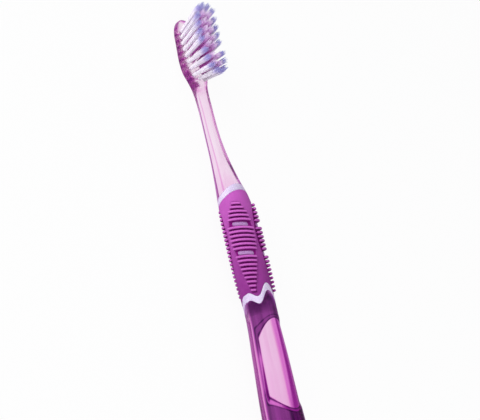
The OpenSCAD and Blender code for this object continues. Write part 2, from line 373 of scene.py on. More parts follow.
def finished_piece(name: str, bm: BMesh, material: bpy.types.Material, slot: Slot,
                   nodes: Iterable[str], sharp: float = 40.0) -> bpy.types.Object:
    """Turns a mesh into a piece that rides on the brush and stands for its CAD nodes.

    Args:
        name: The piece's name.
        bm: Its mesh, in metres, which is freed.
        material: Its finish.
        slot: The record's slot for that finish, which is not used.
        nodes: The CAD nodes that it replaces.
        sharp: Edges that bend by more than this angle are drawn sharp.

    Returns:
        The piece.
    """
    bmesh.ops.recalc_face_normals(bm, faces=bm.faces)
    mesh = mesh_of(name, bm)
    mesh.shade_smooth()
    mesh.set_sharp_from_angle(angle=math.radians(sharp))
    mesh.materials.append(material)
    piece = put_in_scene(name, mesh)
    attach(piece, Body.BRUSH.value)
    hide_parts(*nodes)
    LOG.info("%s: %d faces", name, len(mesh.polygons))
    return piece


def colour(r: float, g: float, b: float) -> Colour:
    """Turns the levels of a screen colour, from 0 to 255, into the linear colour that shaders take.

    Args:
        r: The red level.
        g: The green level.
        b: The blue level.

    Returns:
        The colour, opaque.
    """
    def linear(v: float) -> float:
        """Turns one level into linear light."""
        v /= 255
        return v / 12.92 if v <= 0.04045 else ((v + 0.055) / 1.055) ** 2.4
    return linear(r), linear(g), linear(b), 1.0


class NodeBook:
    """A node tree that is written one node at a time."""

    def __init__(self, owner: bpy.types.Material | bpy.types.World) -> None:
        """Empties the owner's tree.

        Args:
            owner: The material or the world.
        """
        owner.use_nodes = True
        self.tree = owner.node_tree
        self.tree.nodes.clear()

    def add(self, kind: str, inputs: dict[str | int, object] | None = None,
            **settings: object) -> bpy.types.Node:
        """Adds a node.

        Args:
            kind: The node's type without its prefix.
            inputs: For each socket, a value or the socket that feeds it.
            settings: The node's own settings.

        Returns:
            The node.
        """
        node = self.tree.nodes.new("ShaderNode" + kind)
        for key, value in settings.items():
            setattr(node, key, value)
        for key, value in (inputs or {}).items():
            if isinstance(value, Socket):
                self.tree.links.new(value, node.inputs[key])
            else:
                node.inputs[key].default_value = value
        return node

    def attribute(self, name: str) -> Socket:
        """Adds what reads a number that is written on a mesh's points."""
        return self.add("Attribute", attribute_name=name, attribute_type="GEOMETRY").outputs["Fac"]

    def math(self, operation: str, *values: object) -> Socket:
        """Adds a sum on numbers or sockets."""
        return self.add("Math", dict(enumerate(values)), operation=operation).outputs[0]

    def noise(self, size: float, detail: float = 2.0,
              stretch: tuple[float, float, float] = (1, 1, 1)) -> Socket:
        """Adds noise on object coordinates.

        Args:
            size: The size of its spots, in millimetres.
            detail: Its number of finer layers.
            stretch: How much finer it is along each axis.

        Returns:
            The noise's socket, from 0 to 1.
        """
        where = self.add("TexCoord").outputs["Object"]
        scaled = self.add("Mapping", {"Vector": where, "Scale": stretch}).outputs["Vector"]
        inputs = {"Vector": scaled, "Scale": 1 / (size * MM), "Detail": detail}
        return self.add("TexNoise", inputs).outputs["Fac"]

    def blend(self, share: object, a: object, b: object) -> Socket:
        """Adds a mix of two colours."""
        return self.add("Mix", {0: share, 6: a, 7: b}, data_type="RGBA").outputs[2]

    def ramp(self, value: Socket, stops: Sequence[tuple[float, Colour]]) -> Socket:
        """Adds a colour ramp.

        Args:
            value: What it reads.
            stops: Its places and colours.

        Returns:
            The ramp's colour.
        """
        ramp = self.add("ValToRGB", {0: value})
        ends = ramp.color_ramp.elements
        for k, (at, paint) in enumerate(stops):
            stop = ends[k] if k < 2 else ends.new(at)
            stop.position, stop.color = at, paint
        return ramp.outputs["Color"]

    def span(self, value: Socket, low: float, high: float, start: float = 0.0, end: float = 1.0) -> Socket:
        """Maps a socket's range from start to end onto low to high."""
        return self.add("MapRange", {"Value": value, "From Min": start, "From Max": end, "To Min": low,
                                     "To Max": high}).outputs["Result"]

    def bump(self, height: Socket, depth: float, strength: float) -> Socket:
        """Adds a bump of a depth in millimetres."""
        inputs = {"Height": height, "Distance": depth * MM, "Strength": strength}
        return self.add("Bump", inputs).outputs["Normal"]

    def lets_lamps_through(self, shader: bpy.types.Node, cast: Colour) -> Socket:
        """Adds a mix that shadow rays pass, so that the plastic's shadow is tinted and not black.

        Args:
            shader: What all other rays meet.
            cast: The colour that shadow rays take on.

        Returns:
            The mix.
        """
        through = self.add("BsdfTransparent", {"Color": cast})
        lamp = self.add("LightPath").outputs["Is Shadow Ray"]
        return self.add("MixShader", {0: lamp, 1: shader.outputs[0], 2: through.outputs[0]}).outputs[0]


@dataclass(frozen=True)
class ClearPlastic:
    """Clear violet plastic. The mesh's "deep" gives its depth of colour, with painted light and shade in it,
    and "blur" how frosted it is.
    """

    name: str = "clear_violet_plastic"
    stops: tuple[tuple[float, Colour], ...] = (
        (0.0, (0.99, 0.965, 0.99, 1.0)),
        (0.4, (0.84, 0.34, 0.72, 1.0)),
        (0.56, (0.62, 0.09, 0.58, 1.0)),
        (0.75, (0.16, 0.012, 0.19, 1.0)),
        (1.0, (0.004, 0.0002, 0.009, 1.0)),
    )
    cast: Colour = (0.97, 0.8, 0.97, 1.0)
    inside: Colour = (0.86, 0.22, 0.74, 1.0)
    density: float = 42.0
    index: float = 1.52
    frost: float = 0.5
    sheen: Colour = (0.8, 0.45, 0.85, 1.0)

    def material(self) -> bpy.types.Material:
        """Builds the material.

        Returns:
            The material.
        """
        material = bpy.data.materials.new(self.name)
        book = NodeBook(material)
        flow = book.noise(2.2, 3.0, (0.06, 1.0, 1.0))
        fine = book.noise(0.6, 2.0)
        # The deep share holds painted light and shade besides the depth of colour.
        deep = book.math("ADD", book.attribute("deep"), book.span(flow, -0.07, 0.13, 0.3, 0.7))
        frost = book.span(book.attribute("blur"), 0.0, self.frost)
        body = book.add("BsdfPrincipled", {
            "Base Color": book.ramp(deep, self.stops),
            "Roughness": book.math("ADD", book.span(fine, 0.015, 0.05), frost),
            "Transmission Weight": 1.0,
            "IOR": self.index,
            "Specular Tint": self.sheen,
            "Normal": book.bump(flow, 0.05, 0.35),
        })
        skin = book.lets_lamps_through(body, self.cast)
        depth = book.add("VolumeAbsorption", {"Color": self.inside, "Density": self.density})
        book.add("OutputMaterial", {"Surface": skin, "Volume": depth.outputs[0]})
        return material


@dataclass(frozen=True)
class PearlPlastic:
    """White plastic with a lavender pearl in it, with a darker lavender painted as shade on the bars that
    show in the rubber's windows.
    """

    name: str = "pearl_plastic"
    light: Colour = colour(226, 216, 238)
    deep: Colour = colour(204, 190, 222)
    fleck: Colour = colour(255, 250, 255)
    # Painted shade: the darker lavender of the bars sunk in the rubber's windows.
    bar_shade_colour: Colour = colour(182, 140, 194)

    def material(self) -> bpy.types.Material:
        """Builds the material.

        Returns:
            The material.
        """
        material = bpy.data.materials.new(self.name)
        book = NodeBook(material)
        flow = book.noise(5.0, 4.0, (0.6, 1.0, 1.0))
        fleck = book.noise(0.25, 1.0)
        body = book.blend(book.span(flow, 0.0, 1.0, 0.3, 0.7), self.light, self.deep)
        body = book.blend(book.span(fleck, 0.0, 0.25, 0.55, 0.8), body, self.fleck)
        # Paints shade on the bars in the rubber's windows.
        body = book.blend(book.attribute("painted_bar_shade"), body, self.bar_shade_colour)
        shader = book.add("BsdfPrincipled", {
            "Base Color": body,
            "Roughness": book.span(fleck, 0.22, 0.34),
            "Subsurface Weight": 0.3,
            "Subsurface Radius": (1.0, 0.9, 1.0),
            "Subsurface Scale": 0.0008,
            "Coat Weight": 0.35,
            "Coat Roughness": 0.12,
            "Normal": book.bump(fleck, 0.01, 0.5),
        })
        book.add("OutputMaterial", {"Surface": shader.outputs[0]})
        return material


@dataclass(frozen=True)
class SoftRubber:
    """Magenta rubber with a satin grain, painted lighter towards the head. The mesh's "groove" paints shade
    in grooves, and below 0 a highlight on crests.
    """

    name: str = "soft_rubber"
    # Painted light: the lit colour towards the head and the shaded colour towards the butt.
    light: Colour = colour(190, 88, 184)
    deep: Colour = colour(126, 28, 122)
    # A painted highlight for the ribs' crests and painted shade for the grooves.
    crest: Colour = colour(214, 112, 206)
    groove: Colour = colour(128, 0, 118)
    painted_falloff_start: float = 0.016
    painted_falloff_end: float = -0.022

    def material(self) -> bpy.types.Material:
        """Builds the material.

        Returns:
            The material.
        """
        material = bpy.data.materials.new(self.name)
        book = NodeBook(material)
        patches = book.noise(7.0, 3.0)
        grain = book.noise(0.16, 2.0)
        down = book.attribute("groove")
        # Painted light: lighter towards the head, deeper towards the butt.
        along = book.add("SeparateXYZ", {0: book.add("TexCoord").outputs["Object"]}).outputs["X"]
        painted_falloff = book.span(along, 0.1, 0.9, self.painted_falloff_start, self.painted_falloff_end)
        painted_falloff = book.math("ADD", painted_falloff, book.span(patches, -0.1, 0.1, 0.3, 0.7))
        body = book.blend(painted_falloff, self.light, self.deep)
        # Painted highlight on the crests and painted shade in the grooves.
        body = book.blend(book.span(down, 0.0, 1.0, 0.0, -1.0), body, self.crest)
        body = book.blend(down, body, self.groove)
        shader = book.add("BsdfPrincipled", {
            "Base Color": body,
            "Roughness": book.math("ADD", book.span(grain, 0.42, 0.56), book.span(down, 0.0, 0.4)),
            "Specular IOR Level": 0.3,
            "Normal": book.bump(grain, 0.018, 0.6),
        })
        book.add("OutputMaterial", {"Surface": shader.outputs[0]})
        return material


@dataclass(frozen=True)
class Filament:
    """Nylon filament. The mesh's "along" gives the place on its free length, and "shade" its own tone."""

    name: str
    stops: tuple[tuple[float, Colour], ...]
    cast: Colour = (0.76, 0.7, 0.78, 1.0)
    dull: Colour = colour(200, 186, 214)

    def material(self) -> bpy.types.Material:
        """Builds the material.

        Returns:
            The material.
        """
        material = bpy.data.materials.new(self.name)
        book = NodeBook(material)
        shade = book.attribute("shade")
        moved = book.math("ADD", book.attribute("along"), book.span(shade, -0.07, 0.07))
        body = book.blend(book.span(shade, 0.0, 0.12), book.ramp(moved, self.stops), self.dull)
        shader = book.add("BsdfPrincipled", {
            "Base Color": body,
            "Roughness": book.span(shade, 0.28, 0.42),
            "Subsurface Weight": 0.25,
            "Subsurface Radius": (1.0, 0.9, 1.0),
            "Subsurface Scale": 0.0004,
        })
        book.add("OutputMaterial", {"Surface": book.lets_lamps_through(shader, self.cast)})
        return material


@dataclass(frozen=True)
class DrawnWire:
    """Bright drawn metal for the anchors."""

    name: str = "anchor_metal"

    def material(self) -> bpy.types.Material:
        """Builds the material.

        Returns:
            The material.
        """
        material = bpy.data.materials.new(self.name)
        book = NodeBook(material)
        lines = book.noise(0.2, 2.0, (1.0, 0.1, 1.0))
        shader = book.add("BsdfPrincipled", {
            "Base Color": book.blend(lines, colour(214, 206, 212), colour(180, 172, 182)),
            "Metallic": 1.0,
            "Roughness": book.span(lines, 0.25, 0.45),
        })
        book.add("OutputMaterial", {"Surface": shader.outputs[0]})
        return material


@dataclass
class Tuft:
    """One tuft: its node, its hole's place on the head, its lean, length and finish, and its filaments.

    A filament may wander aside at its tip, and dome and ragged are shares of its length. The profile pairs
    shares of its free length with shares of its width, up to the rounded end.
    """

    node: str
    station: float
    across: float
    lean: float
    tuft_len: float
    slot: Slot
    outer: bool
    hole_d: float = 1.7
    hole_depth: float = 2.1
    hole_gap: float = 0.05
    cutter_over: float = 0.6
    filaments: int = 40
    filament_d: float = 0.2
    spread: float = 1.7
    dome: float = 0.05
    ragged: float = 0.11
    wander: float = 0.26
    profile: tuple[tuple[float, float], ...] = (
        (0.35, 1.0), (0.7, 1.0), (0.88, 0.74), (0.98, 0.36), (1.0, 0.0))
    sides: int = 5

    def height(self) -> float:
        """Gives the height of the head's face at the tuft."""
        half, middle, thick, square = FORM.section(self.station)
        return middle + thick * (1 - min(abs(self.across) / half, 1) ** square) ** (1 / square)

    def frame(self) -> Matrix:
        """Gives the tuft's own frame, with Z up the hole and lengths in metres."""
        foot = Vector((FORM.middle - self.station, self.across, self.height())) * MM
        return Matrix.Translation(foot) @ Matrix.Rotation(math.radians(self.lean), 4, "Y")

    def cutter(self, bm: BMesh) -> None:
        """Adds the round pin that drills the tuft's hole to a mesh.

        Args:
            bm: The mesh that takes the pin.
        """
        long = (self.hole_depth + self.cutter_over) * MM
        middle = Matrix.Translation((0, 0, (self.cutter_over - self.hole_depth) / 2 * MM))
        radius = self.hole_d / 2 * MM
        bmesh.ops.create_cone(bm, cap_ends=True, segments=24, radius1=radius, radius2=radius, depth=long,
                              matrix=self.frame() @ middle)

    def build(self, material: bpy.types.Material, draw: random.Random) -> bpy.types.Object:
        """Builds the tuft's filaments.

        Args:
            material: Their finish.
            draw: The source of their small differences.

        Returns:
            The piece.
        """
        bm = bmesh.new()
        along = bm.verts.layers.float.new("along")
        shade = bm.verts.layers.float.new("shade")
        frame_of = self.frame()
        bundle_r = self.hole_d / 2 - self.hole_gap - self.filament_d / 2
        for i in range(self.filaments):
            r = bundle_r * math.sqrt((i + 0.5) / self.filaments)
            turn = math.radians(GOLDEN_TURN * i)
            away = Vector((math.cos(turn), math.sin(turn), 0))
            tall = self.tuft_len * (1 - self.dome * (r / bundle_r) ** 2 - self.ragged * draw.random())
            side = Vector((draw.uniform(-1, 1), draw.uniform(-1, 1), 0)) * self.wander
            tone = draw.random()
            root = self.hole_gap * 2 - self.hole_depth
            steps = [(root, 0.0), (root, 1.0), (0.0, 1.0)] + [(tall * up, w) for up, w in self.profile]

            def ring(z: float, share: float) -> Place:
                """Places a ring round the filament at height z.

                Args:
                    z: The height over the head.
                    share: The share of the filament's full width.

                Returns:
                    The ring.
                """
                up = clamp(z / self.tuft_len)
                centre = away * r * mix(1, self.spread, up) + side * up * up + Vector((0, 0, z))

                def at(az: float) -> Vector:
                    """Places one point of the ring.

                    Args:
                        az: The turn round the filament, in degrees.

                    Returns:
                        The point, in millimetres.
                    """
                    a = math.radians(az)
                    rim = Vector((math.cos(a), math.sin(a), 0)) * self.filament_d / 2 * share
                    return frame_of @ ((centre + rim) * MM) / MM
                return at

            def write(v: BMVert, step: int, _az: float) -> None:
                """Writes how far up the filament the point is, and its tone."""
                v[along] = clamp(steps[step][0] / self.tuft_len)
                v[shade] = tone

            rolled_skin(bm, [ring(*step) for step in steps], self.sides, write)
        name = self.node.replace("tuft_", "filaments_")
        return finished_piece(name, bm, material, self.slot, [self.node], sharp=70.0)


@dataclass
class TuftField:
    """All the tufts, in two outer and two inner columns that stand half a pitch apart."""

    pitch: float = 2.85
    first_outer: float = 6.3
    inner_gap: float = 2.8
    outer_gap: float = 8.7
    front_holes: int = 5
    column_holes: int = 8
    front_lean: float = 20.0
    front_fan: float = 7.0
    rear_lean: float = 6.0
    tuft_len: float = 12.2
    tip_rise: float = 2.2
    inner_shares: tuple[float, ...] = (0.93, 1, 1, 1, 1, 1, 1, 1, 0.86)
    outer_shares: tuple[float, ...] = (0.8, 0.95, 1, 1, 1, 1, 0.93, 0.74)
    seed: int = 11
    white: Filament = Filament("white_nylon", (
        (0.0, colour(250, 244, 252)), (0.64, colour(247, 243, 252)), (0.82, colour(186, 178, 232)),
        (0.93, colour(122, 134, 202)), (1.0, colour(188, 198, 228))))
    purple: Filament = Filament("purple_nylon", (
        (0.0, colour(216, 110, 206)), (0.5, colour(216, 114, 208)), (0.7, colour(228, 166, 230)),
        (0.85, colour(240, 212, 246)), (1.0, colour(250, 242, 252))))

    def tuft(self, column: str, word: str, k: int) -> Tuft:
        """Gives one tuft as the CAD names and places it.

        Args:
            column: "outer" or "inner".
            word: "left" or "right".
            k: Its number in the column, from 0 at the tip.

        Returns:
            The tuft.
        """
        inner = column == "inner"
        hole = k - 0.5 if inner else k
        front = self.front_holes
        if hole < front - 0.25:
            lean = self.front_lean - self.front_fan * max(hole, 0) / (front - 1)
        else:
            lean = -self.rear_lean * (hole - front) / (self.column_holes - front - 1)
        tall = self.tuft_len + self.tip_rise * max(1 - max(hole, 0) / (front - 1), 0)
        gap, shares = (self.inner_gap, self.inner_shares) if inner else (self.outer_gap, self.outer_shares)
        across = gap / 2 * shares[k] * (1 if word == "left" else -1)
        white = not inner or k in (0, self.column_holes)
        return Tuft(f"tuft_{column}_{word}_{k + 1}", self.first_outer + hole * self.pitch, across, lean, tall,
                    Slot.WHITE if white else Slot.PURPLE, not inner)

    def tufts(self) -> list[Tuft]:
        """Lists all the tufts.

        Returns:
            The tufts, left columns first.
        """
        columns = (("outer", self.column_holes), ("inner", self.column_holes + 1))
        return [self.tuft(column, word, k)
                for word in ("left", "right") for column, n in columns for k in range(n)]

    def build(self) -> None:
        """Builds every tuft."""
        white, purple = self.white.material(), self.purple.material()
        draw = random.Random(self.seed)
        for tuft in self.tufts():
            tuft.build(white if tuft.slot is Slot.WHITE else purple, draw)


@dataclass(frozen=True)
class Tints:
    """How deep the clear plastic's colour is in each of its parts, from 0 to 1, with its painted light and
    shade.
    """

    # Painted shade: the dark rim at the tip of the head.
    rim: float = 0.9
    # Head walls and shoulder: paler at the holes as painted light, and deeper between them, where the plastic
    # is thicker.
    wall_at_hole: float = 0.08
    wall_between: float = 0.7
    shoulder_at_hole: float = 0.4
    shoulder_between: float = 0.8
    # Painted shade along a crease of the neck.
    crease: float = 0.42
    front: float = 0.66
    # Painted light: the back and far sides of the lower handle are paler.
    back: float = 0.16
    # Painted light: paler just under the band.
    under_band: float = 0.16
    # Painted shade under the band's front peak.
    peak: float = 0.86
    # Painted shade on the recess's walls, its arch and its foot.
    recess_wall: float = 0.5
    arch: float = 0.87
    foot: float = 0.56
    # Painted shade on the recess's floor away from its middle, which stays pale as painted light.
    ridge: float = 0.52
    # Painted shade: dark lines along the recess's edges.
    line: float = 1.0
    faint_line: float = 0.4


@dataclass
class Handle:
    """The clear moulding from the tip of the head to the butt, with its thumb recess and drilled head."""

    sides: int = 192
    nose_rings: int = 16
    neck_rings: int = 62
    collar_rings: int = 10
    waist_rings: int = 14
    recess_rings: int = 220
    butt_rings: int = 30
    bond: float = 0.05
    recess_start: float = 127.0
    recess_len: float = 32.0
    recess_depth: float = 1.0
    recess_lip: float = 1.6
    recess_reach: float = 2.4
    arch_len: float = 13.4
    arch_w: float = 6.45
    arch_power: float = 2.3
    foot_len: float = 8.48
    foot_w: float = 6.62
    ledge_az: float = 14.0
    dips: tuple[tuple[float, float], ...] = ((0, 0.12), (20, 0.36), (45, 0.36), (80, 0.75), (180, 0.75))
    line_marks: tuple[float, float] = (0.08, 0.82)
    line_w: float = 0.2
    tints: Tints = field(default_factory=Tints)
    head_blur: float = 0.44
    least_blur: float = 0.13
    blur_end: float = 126.5

    @property
    def recess_end(self) -> float:
        """The station where the recess ends."""
        return self.recess_start + self.recess_len

    def inside(self, s: float, y: float) -> float:
        """Gives how far a point lies inside the recess's inner outline, seen from the bristle side.

        Args:
            s: The station.
            y: The distance from the middle plane.

        Returns:
            The distance to the outline, below 0 outside it.
        """
        def margin(run: float, length: float, width: float, n: float) -> float:
            """Gives the distance to a superellipse's rim.

            Args:
                run: The distance along the handle from the superellipse's centre.
                length: Its half length.
                width: Its half width.
                n: Its power.

            Returns:
                The distance, below 0 outside it.
            """
            ahead, aside = run / length, abs(y) / width
            reach = max((ahead ** n + aside ** n) ** (1 / n), 1e-6)
            steep = math.hypot((ahead / reach) ** (n - 1) / length, (aside / reach) ** (n - 1) / width)
            return (1 - reach) / steep

        arch_at = self.recess_start + self.arch_len
        foot_at = self.recess_end - self.foot_len
        if s < arch_at:
            return margin(arch_at - s, self.arch_len, self.arch_w, self.arch_power)
        if s > foot_at:
            return margin(s - foot_at, self.foot_len, self.foot_w, 2.0)
        return mix(self.arch_w, self.foot_w, (s - arch_at) / (foot_at - arch_at)) - abs(y)

    def sunk(self, s: float, az: float, y: float) -> float:
        """Gives how much of the recess's depth a point of the outer form has, from 0 to 1.

        Args:
            s: The station.
            az: The azimuth.
            y: The distance from the middle plane.

        Returns:
            The share of the depth.
        """
        turn = abs((az + 180) % FULL_TURN - 180)
        if turn >= 90 or not self.recess_start - self.recess_reach < s < self.recess_end + self.recess_reach:
            return 0.0
        t = clamp(1 + self.inside(s, y) / self.recess_lip)
        return mix(t, ease(t), 0.35) * ease((90 - turn) / self.ledge_az)

    def lower_point(self, s: float, az: float) -> Vector:
        """Gives a point of the lower handle, sunk where it lies in the recess.

        Args:
            s: The station.
            az: The azimuth.

        Returns:
            The point, in millimetres.
        """
        plain = FORM.skin(s, az)
        share = self.sunk(s, az, plain.y)
        if share <= 0:
            return plain
        turn = abs((az + 180) % FULL_TURN - 180)
        return FORM.skin(s, az, self.recess_depth * look_up(turn, self.dips) * share)

    def rings(self) -> list[Place]:
        """Lists the rings of the moulding from tip to butt.

        Returns:
            The rings.
        """
        def ring(curve: Curve, inset: float = 0.0) -> Place:
            """Gives a ring of the plain form along a curve."""
            return lambda az: FORM.skin(curve(az), az, inset)

        def level(s: float) -> Curve:
            """Gives a curve that stays at one station."""
            return lambda az: s

        def lower(curve: Curve) -> Place:
            """Gives a ring of the lower handle along a curve."""
            return lambda az: self.lower_point(curve(az), az)

        def between(a: Curve, b: Curve, t: float) -> Curve:
            """Gives the curve at share t between two curves."""
            return lambda az: mix(a(az), b(az), t)

        def seat_top(az: float) -> float:
            """Gives the station where the sleeve's seat starts."""
            return FORM.collar_edge(az) + self.bond

        def seat_end(az: float) -> float:
            """Gives the station where the sleeve's seat ends."""
            return FORM.band_edge(az) - self.bond

        def steps(count: int) -> list[float]:
            """Lists count shares that end at 1."""
            return [k / count for k in range(1, count + 1)]

        nose = FORM.head_len * 0.3
        neck_end = level(FORM.collar_start - 7)
        start, end = self.recess_start - self.recess_reach, self.recess_end + self.recess_reach
        made = [ring(level(nose * (1 - math.cos(math.pi / 2 * t)))) for t in [0.0] + steps(self.nose_rings)]
        made += [ring(between(level(nose), neck_end, t)) for t in steps(self.neck_rings)]
        made += [ring(between(neck_end, seat_top, t)) for t in steps(self.collar_rings)]
        made += [ring(between(seat_top, seat_end, t), FORM.core_inset - self.bond) for t in [0.0] + steps(4)]
        made += [lower(between(seat_end, level(start), t)) for t in [0.0] + steps(self.waist_rings)]
        made += [lower(between(level(start), level(end), t)) for t in steps(self.recess_rings)]
        made += [ring(level(mix(end, FORM.brush_len, math.sin(math.pi / 2 * t))))
                 for t in steps(self.butt_rings)]
        return made

    def upper_tint(self, s: float, turn: float, stations: Sequence[float]) -> float:
        """Gives the depth of colour of the head and the neck, with painted light at the holes and painted
        shade at the tip's rim and along the neck's crease.

        Args:
            s: The station.
            turn: Degrees from the bristle side.
            stations: Where the outer tufts stand, between which the head's wall is thicker.

        Returns:
            The share of the deepest colour.
        """
        tints, shoulder_at = self.tints, FORM.head_len * 0.88
        head_end = FORM.head_len * 0.86
        # The head's walls are painted paler at the holes, as painted light, and deeper between them, where
        # the plastic is thicker.
        between = 0.5 - 0.5 * math.cos(2 * math.pi * (s - stations[0]) / (stations[1] - stations[0]))
        wall = mix(tints.wall_at_hole, tints.wall_between, between) * rise(s, head_end, head_end - 4)
        shoulder = mix(tints.shoulder_at_hole, tints.shoulder_between, between)
        wall = max(wall, shoulder * ease(1.3 - abs(s - shoulder_at) / 5))
        flank = rise(turn, 40, 65) * rise(turn, 150, 120)
        # Painted shade along the neck's crease.
        crease = tints.crease * ease(1 - abs(turn - 75) / 9) * rise(s, FORM.head_len, FORM.head_len + 6)
        # Painted shade at the tip's rim.
        return max(wall * flank, tints.rim * rise(s, 1.8, 0), crease * (1 - self.lower_share(s)))

    def front_tint(self, s: float, turn: float) -> float:
        """Gives the depth of colour of the lower handle's front, with the lines and the floor of the recess,
        which hold painted shade on the recess's walls, in its lines and under the band's peak, and painted
        light under the band and on the recess's floor.

        Args:
            s: The station.
            turn: Degrees from the bristle side.

        Returns:
            The share of the deepest colour.
        """
        tints = self.tints
        share = self.sunk(s, turn, FORM.skin(s, turn).y)
        # Painted shade on the recess's walls, deepest at the arch.
        arch = rise(s, self.recess_start + 14, self.recess_start + 7)
        foot = rise(s, self.recess_end - 9, self.recess_end - 6)
        wall = mix(mix(tints.recess_wall, tints.arch, arch), tints.foot, foot)
        tint = mix(tints.front, wall, rise(share, 0, 0.1))
        # Painted light: paler just under the band.
        tint = mix(tint, tints.under_band, rise(s, 124, 120))
        # Painted shade under the band's front peak.
        tint = mix(tint, tints.peak, rise(s, 119.4, 117.9) * rise(turn, 40, 25))
        # The recess's floor is painted pale in its middle and deeper away from it, as painted light and
        # shade.
        tint = mix(tint, tints.ridge * rise(turn, 27, 13), rise(share, 0.86, 1.0))
        # Painted shade: dark lines along the recess's edges.
        line = max(ease(1 - abs(share - mark) / self.line_w) for mark in self.line_marks)
        return mix(tint, tints.line, line * mix(tints.faint_line, 1.0, max(arch, foot)))

    def lower_share(self, s: float) -> float:
        """Gives how much a station belongs to the lower handle, from 0 to 1."""
        return rise(s, FORM.band_start + 2, FORM.band_start + 6)

    def depth_and_painted_light(self, at: Vector, stations: Sequence[float]) -> float:
        """Gives how deep the plastic's colour is at a point, from 0 to 1, with its painted light and shade.

        Args:
            at: The point, in millimetres.
            stations: Where the outer tufts stand.

        Returns:
            The share of the deepest colour.
        """
        s = FORM.middle - at.x
        half, middle, thick, _square = FORM.section(s)
        turn = math.degrees(math.atan2(abs(at.y) / max(half, 0.1), (at.z - middle) / max(thick, 0.1)))
        # Painted light: the back and far sides are paler.
        lower = mix(self.front_tint(s, turn), self.tints.back, rise(turn, 86, 106))
        return clamp(self.upper_tint(s, turn, stations) + self.lower_share(s) * lower)

    def drilled(self, piece: bpy.types.Object, tufts: Sequence[Tuft]) -> None:
        """Drills the tufts' holes in the head.

        Args:
            piece: The plain handle, whose mesh is replaced.
            tufts: The tufts that need holes.
        """
        bm = bmesh.new()
        for tuft in tufts:
            tuft.cutter(bm)
        drill = put_in_scene("drill", mesh_of("drill", bm))
        cut = piece.modifiers.new("holes", "BOOLEAN")
        cut.object, cut.operation, cut.solver = drill, "DIFFERENCE", "EXACT"
        shaped = bpy.data.meshes.new_from_object(piece.evaluated_get(bpy.context.evaluated_depsgraph_get()))
        piece.modifiers.clear()
        old, piece.data = piece.data, shaped
        shaped.name = piece.name
        bpy.data.meshes.remove(old)
        bpy.data.objects.remove(drill)
        shaped.set_sharp_from_angle(angle=math.radians(40))
        deep = shaped.attributes.new("deep", "FLOAT", "POINT")
        blur = shaped.attributes.new("blur", "FLOAT", "POINT")
        stations = [tuft.station for tuft in tufts if tuft.outer]
        for v in shaped.vertices:
            # Writes the depth of colour with its painted light and shade.
            deep.data[v.index].value = self.depth_and_painted_light(v.co / MM, stations)
            s = FORM.middle - v.co.x / MM
            band = rise(s, FORM.band_start, FORM.band_start + 2) * rise(s, self.blur_end, self.blur_end - 3)
            head = self.head_blur * rise(s, FORM.head_len, FORM.head_len - 4)
            blur.data[v.index].value = max(head, band, self.least_blur)

    def build(self, tufts: Sequence[Tuft]) -> None:
        """Builds the handle.

        Args:
            tufts: The tufts that need holes.
        """
        bm = bmesh.new()
        rolled_skin(bm, self.rings(), self.sides)
        capped(bm)
        piece = finished_piece("clear_handle", bm, ClearPlastic().material(), Slot.CLEAR, ["handle_core"])
        self.drilled(piece, tufts)


